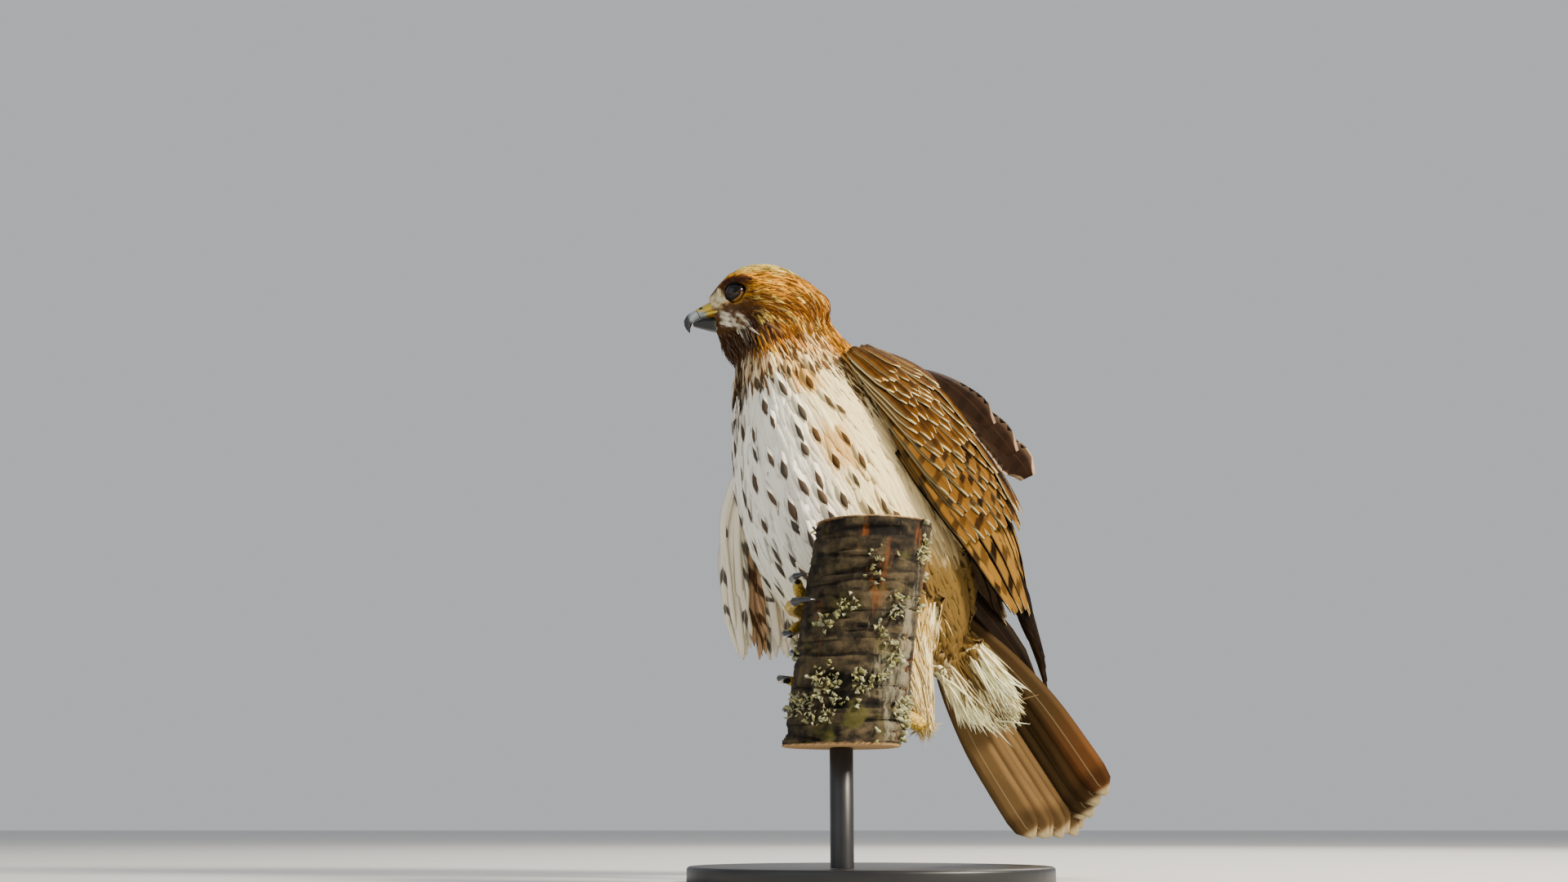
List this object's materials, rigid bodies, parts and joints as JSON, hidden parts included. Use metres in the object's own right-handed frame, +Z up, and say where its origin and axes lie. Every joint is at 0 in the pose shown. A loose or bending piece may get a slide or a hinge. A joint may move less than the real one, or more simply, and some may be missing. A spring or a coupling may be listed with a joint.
{
  "type": "red tailed hawk",
  "caption": "Life-size still model of a hawk that clings to a short cut length of trunk, its head turned to one side and its tail hanging, on a plain stand.",
  "frame": {"origin": "centre of the underside of the stand's base, on the floor", "axes": "+Z up; a viewer at -Y sees the bird in three-quarter view from its left front, its head turned to -X"},
  "size_m": [0.347, 0.3225, 0.4755],
  "materials": {
    "plumage": "soft feathers, cream with brown streaks",
    "wing": "brown feathers with pale edges",
    "tail": "grey-brown below, rufous above",
    "eye": "wet and glossy",
    "cere": "waxy yellow",
    "horn": "blue-black horn",
    "leg": "scaly yellow skin",
    "bark": "rough bark with lichen",
    "stand": "satin black"
  },
  "bodies": {
    "root": {"head": "plumage", "neck": "plumage", "torso": "plumage", "flank_right": "plumage", "undertail": "plumage", "thigh_left": "plumage", "thigh_right": "plumage", "wing_left": "wing", "wing_right": "wing", "tail": "tail", "eye_left": "eye", "eye_right": "eye", "cere": "cere", "bill_upper": "horn", "bill_lower": "horn", "tarsus_left": "leg", "tarsus_right": "leg", "foot_left": "leg", "foot_right": "leg", "claw_left_middle": "horn", "claw_left_inner": "horn", "claw_left_outer": "horn", "claw_left_hind": "horn", "claw_right_middle": "horn", "claw_right_inner": "horn", "claw_right_outer": "horn", "claw_right_hind": "horn", "perch_trunk": "bark", "stand_base": "stand", "stand_rod": "stand"}
  },
  "joints": []
}
